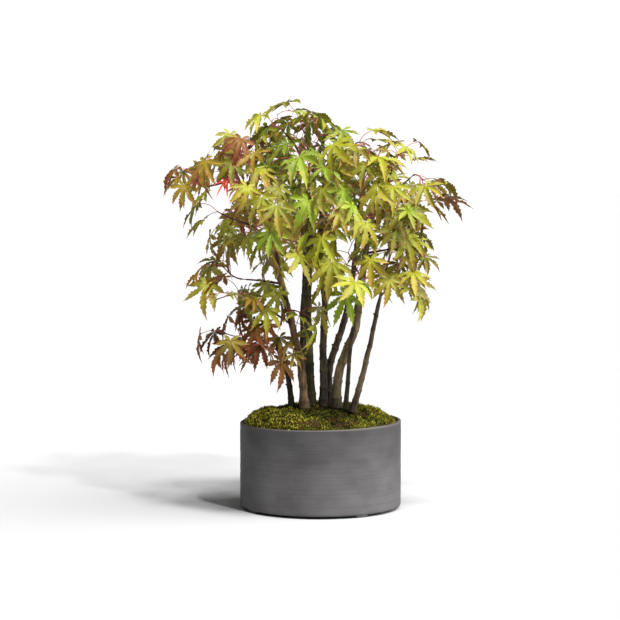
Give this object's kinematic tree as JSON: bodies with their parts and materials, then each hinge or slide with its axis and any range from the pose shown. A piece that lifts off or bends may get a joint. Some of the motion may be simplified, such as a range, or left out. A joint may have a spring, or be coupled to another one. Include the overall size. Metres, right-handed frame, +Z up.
{
  "type": "bonsai japanese maple in a round pot",
  "caption": "Clump of nine slim maple stems with lobed leaves, grown as a bonsai from a mossy mound in a straight-sided round stoneware pot on four low feet.",
  "frame": {"origin": "centre of the pot's flat underside, which the four feet hold 3 mm above the surface the pot stands on", "axes": "+Z up along the pot's axis, -Y towards the front, +X to the right seen from the front"},
  "size_m": [0.3833, 0.3247, 0.5051],
  "materials": {
    "stoneware": "matt dark grey, unglazed",
    "moss": "matt, tufted",
    "bark": "rough, grey-brown",
    "young_bark": "smooth, red-brown",
    "leaf_fresh": "soft satin",
    "leaf_lime": "soft satin",
    "leaf_olive": "soft satin",
    "leaf_bronze": "soft satin",
    "leaf_russet": "soft satin"
  },
  "bodies": {
    "root": {"pot": "stoneware", "mossy_soil": "moss", "stem_back_left": "bark", "stem_back_right": "bark", "stem_far_left": "bark", "stem_far_right": "bark", "stem_front_right": "bark", "stem_left": "bark", "stem_middle": "bark", "stem_right": "bark", "stem_upright": "bark", "bough_back": "young_bark", "bough_back_right": "young_bark", "bough_front": "young_bark", "bough_front_left": "young_bark", "bough_high_left": "young_bark", "bough_high_left_back": "young_bark", "bough_left_level": "young_bark", "bough_left_mid": "young_bark", "bough_left_rising": "young_bark", "bough_low_left": "young_bark", "bough_right_high": "young_bark", "bough_right_level": "young_bark", "bough_right_tip": "young_bark", "bough_top_left": "young_bark", "bough_top_right": "young_bark", "leaves_back_left": "leaf_olive", "leaves_back_left_high": "leaf_bronze", "leaves_back_mid": "leaf_fresh", "leaves_back_right": "leaf_olive", "leaves_back_right_high": "leaf_lime", "leaves_back_top": "leaf_olive", "leaves_centre_low_right": "leaf_lime", "leaves_centre_star": "leaf_lime", "leaves_crown_front_left": "leaf_olive", "leaves_crown_front_mid": "leaf_fresh", "leaves_crown_front_right": "leaf_lime", "leaves_crown_mid_right": "leaf_fresh", "leaves_front_left": "leaf_lime", "leaves_front_mid": "leaf_lime", "leaves_left_level": "leaf_bronze", "leaves_left_low_hang": "leaf_russet", "leaves_left_low_inner": "leaf_olive", "leaves_left_low_mid": "leaf_bronze", "leaves_left_low_red": "leaf_russet", "leaves_left_low_tip": "leaf_russet", "leaves_left_mid": "leaf_olive", "leaves_left_mid_inner": "leaf_olive", "leaves_left_tip": "leaf_bronze", "leaves_left_tip_inner": "leaf_bronze", "leaves_right_high": "leaf_olive", "leaves_right_low": "leaf_olive", "leaves_right_low_tip": "leaf_olive", "leaves_right_mid": "leaf_lime", "leaves_right_tip": "leaf_olive", "leaves_top": "leaf_lime", "leaves_top_back": "leaf_fresh", "leaves_top_left": "leaf_lime", "leaves_top_right": "leaf_olive"}
  },
  "joints": []
}
